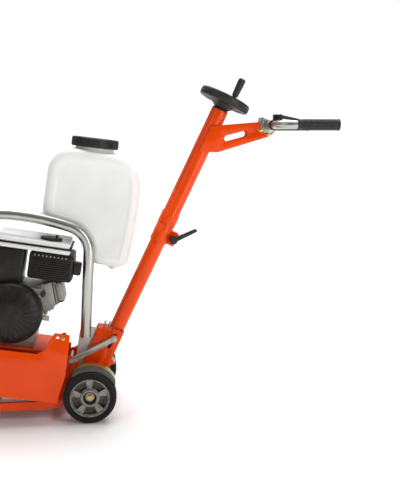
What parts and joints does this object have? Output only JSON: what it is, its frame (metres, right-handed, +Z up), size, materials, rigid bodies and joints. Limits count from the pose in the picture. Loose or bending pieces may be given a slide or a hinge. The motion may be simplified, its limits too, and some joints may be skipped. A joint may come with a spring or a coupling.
{
  "type": "walk-behind concrete grinder",
  "caption": "Walk-behind petrol concrete grinder: pitching chassis with milling drum and water tank on a wheeled carriage, telescopic handle column with lift handwheel.",
  "frame": {"origin": "on the ground, half way between the rear end of the grips and the front edge of the side plates, on the machine's middle plane", "axes": "+X towards the operator (rear), +Y towards the machine's right side as its nose points to -X, +Z up"},
  "size_m": [1.2448, 0.3644, 1.0279],
  "materials": {
    "orange_paint": "gloss orange paint",
    "silver_paint": "silver zinc-plated tube",
    "galvanised": "galvanised sheet",
    "bright_steel": "zinc-plated steel",
    "yellow_zinc": "yellow-passivated zinc",
    "clamp_casting": "machined casting",
    "rim_casting": "die casting",
    "engine_casting": "sand-cast, unpainted",
    "pulley_iron": "turned",
    "black_plastic": "moulded",
    "black_shroud": "textured black",
    "tank_plastic": "blow-moulded translucent white",
    "fuel_tank_paint": "silver and white",
    "tyre_rubber": "solid rubber tread",
    "roller_rubber": "solid rubber",
    "strip_rubber": "grey rubber strip"
  },
  "bodies": {
    "carriage": {"rear_axle": "bright_steel", "undercarriage_frame": "orange_paint", "front_axle": "bright_steel", "axle_bolt_left": "yellow_zinc", "axle_bolt_right": "yellow_zinc", "wheel_guard_left": "yellow_zinc", "wheel_guard_right": "yellow_zinc", "guard_strip_left": "strip_rubber", "guard_strip_right": "strip_rubber", "column_base": "orange_paint", "lower_column": "orange_paint"},
    "rear_wheel_left": {"rear_rim_left": "rim_casting", "rear_tyre_left": "tyre_rubber"},
    "rear_wheel_right": {"rear_rim_right": "rim_casting", "rear_tyre_right": "tyre_rubber"},
    "front_wheel_left": {"front_wheel_left": "roller_rubber"},
    "front_wheel_right": {"front_wheel_right": "roller_rubber"},
    "spindle": {"lower_spindle": "bright_steel"},
    "nut": {"lift_nut": "bright_steel"},
    "links": {"lift_link_left": "bright_steel", "lift_link_right": "bright_steel"},
    "chassis": {"chassis_rails": "orange_paint", "side_plate_left": "orange_paint", "side_plate_right": "orange_paint", "drum_housing": "orange_paint", "engine_bed": "orange_paint", "lift_pin": "bright_steel", "arch_plate": "galvanised", "lifting_arch": "silver_paint", "tank_shelf": "galvanised", "water_tank": "tank_plastic", "engine_block": "engine_casting", "rocker_cover": "engine_casting", "muffler_guard": "black_shroud", "fuel_tank": "fuel_tank_paint", "recoil_cover": "black_shroud", "air_cleaner": "black_shroud", "drive_belt": "roller_rubber"},
    "water_cap": {"tank_cap": "black_plastic"},
    "petrol_cap": {"fuel_cap": "black_plastic"},
    "starter": {"starter_handle": "black_plastic"},
    "drum_assembly": {"drum": "bright_steel", "drum_shaft": "bright_steel", "drum_pulley": "pulley_iron"},
    "crankshaft": {"drive_pulley": "pulley_iron"},
    "column": {"upper_column": "orange_paint", "handle_plate_left": "orange_paint", "handle_plate_right": "orange_paint", "handlebar_clamp": "clamp_casting", "spindle_bearing": "black_plastic"},
    "clamp": {"clamp_lever": "black_plastic"},
    "handwheel": {"handwheel": "black_plastic", "upper_spindle": "bright_steel"},
    "knob": {"crank_knob": "black_plastic"},
    "handlebar": {"handlebar": "silver_paint", "grip_left": "black_plastic", "grip_right": "black_plastic", "lever_block": "black_plastic"},
    "dead_man": {"dead_man_lever": "black_plastic"}
  },
  "joints": [
    {"name": "rear_wheel_left_spin", "type": "hinge", "parent": "carriage", "child": "rear_wheel_left", "pos_m": [-0.11861, 0, 0.08], "axis": [0, 1, 0], "continuous": true},
    {"name": "front_wheel_left_spin", "type": "hinge", "parent": "carriage", "child": "front_wheel_left", "pos_m": [-0.57361, 0, 0.045], "axis": [0, 1, 0], "continuous": true},
    {"name": "rear_wheel_right_spin", "type": "hinge", "parent": "carriage", "child": "rear_wheel_right", "pos_m": [-0.11861, 0, 0.08], "axis": [0, 1, 0], "continuous": true},
    {"name": "front_wheel_right_spin", "type": "hinge", "parent": "carriage", "child": "front_wheel_right", "pos_m": [-0.57361, 0, 0.045], "axis": [0, 1, 0], "continuous": true},
    {"name": "chassis_pitch", "type": "hinge", "parent": "carriage", "child": "chassis", "pos_m": [-0.11861, 0, 0.08], "axis": [0, 1, 0], "range_deg": [-9.5, 0.5]},
    {"name": "nut_slide", "type": "slide", "parent": "carriage", "child": "nut", "axis": [0.4349, 0, 0.9005], "range_m": [-0.03, 0.003]},
    {"name": "link_swing", "type": "hinge", "parent": "nut", "child": "links", "pos_m": [-0.04412, 0, 0.23425], "axis": [0, 1, 0], "range_deg": [-2, 6]},
    {"name": "lower_spindle_turn", "type": "hinge", "parent": "carriage", "child": "spindle", "pos_m": [-0.04412, 0, 0.23425], "axis": [0.4349, 0, 0.9005], "range_deg": [-60, 1000]},
    {"name": "column_telescope", "type": "slide", "parent": "carriage", "child": "column", "axis": [0.4349, 0, 0.9005], "range_m": [-0.06, 0.15]},
    {"name": "handwheel_turn", "type": "hinge", "parent": "column", "child": "handwheel", "pos_m": [0.2943, 0, 0.93502], "axis": [0.4349, 0, 0.9005], "range_deg": [-60, 1000]},
    {"name": "crank_knob_spin", "type": "hinge", "parent": "handwheel", "child": "knob", "pos_m": [0.3275, -0.0697, 0.97262], "axis": [0.4349, 0, 0.9005], "continuous": true},
    {"name": "clamp_lever_turn", "type": "hinge", "parent": "column", "child": "clamp", "pos_m": [0.14617, 0, 0.53792], "axis": [0, 1, 0], "range_deg": [-90, 90]},
    {"name": "handlebar_tilt", "type": "hinge", "parent": "column", "child": "handlebar", "pos_m": [0.4414, 0, 0.89052], "axis": [0, 1, 0], "range_deg": [-38, 38]},
    {"name": "dead_man_press", "type": "hinge", "parent": "handlebar", "child": "dead_man", "pos_m": [0.4554, 0, 0.91452], "axis": [0, 1, 0], "range_deg": [0, 8], "stiffness_Nm_per_rad": 0.6, "springref_deg": -8.59},
    {"name": "drum_spin", "type": "hinge", "parent": "chassis", "child": "drum_assembly", "pos_m": [-0.41697, 0, 0.11472], "axis": [0, 1, 0], "continuous": true},
    {"name": "crankshaft_spin", "type": "hinge", "parent": "chassis", "child": "crankshaft", "pos_m": [-0.34745, 0, 0.33628], "axis": [0, 1, 0], "continuous": true},
    {"name": "water_cap_lift", "type": "slide", "parent": "chassis", "child": "water_cap", "axis": [0.1219, 0, 0.9925], "range_m": [0, 0.12]},
    {"name": "fuel_cap_lift", "type": "slide", "parent": "chassis", "child": "petrol_cap", "axis": [0.165, 0, 0.9863], "range_m": [0, 0.015]},
    {"name": "starter_pull", "type": "slide", "parent": "chassis", "child": "starter", "axis": [0.8616, 0, 0.5075], "range_m": [0, 0.25], "stiffness_N_per_m": 20, "springref_m": -0.15}
  ],
  "couplings": [
    {"joint": "nut_slide", "follows": "chassis_pitch", "m_per_rad": 0.1325},
    {"joint": "link_swing", "follows": "chassis_pitch", "ratio": -0.4},
    {"joint": "lower_spindle_turn", "follows": "chassis_pitch", "ratio": -104.06},
    {"joint": "handwheel_turn", "follows": "chassis_pitch", "ratio": -104.06},
    {"joint": "crankshaft_spin", "follows": "drum_spin", "ratio": 1.1418}
  ]
}
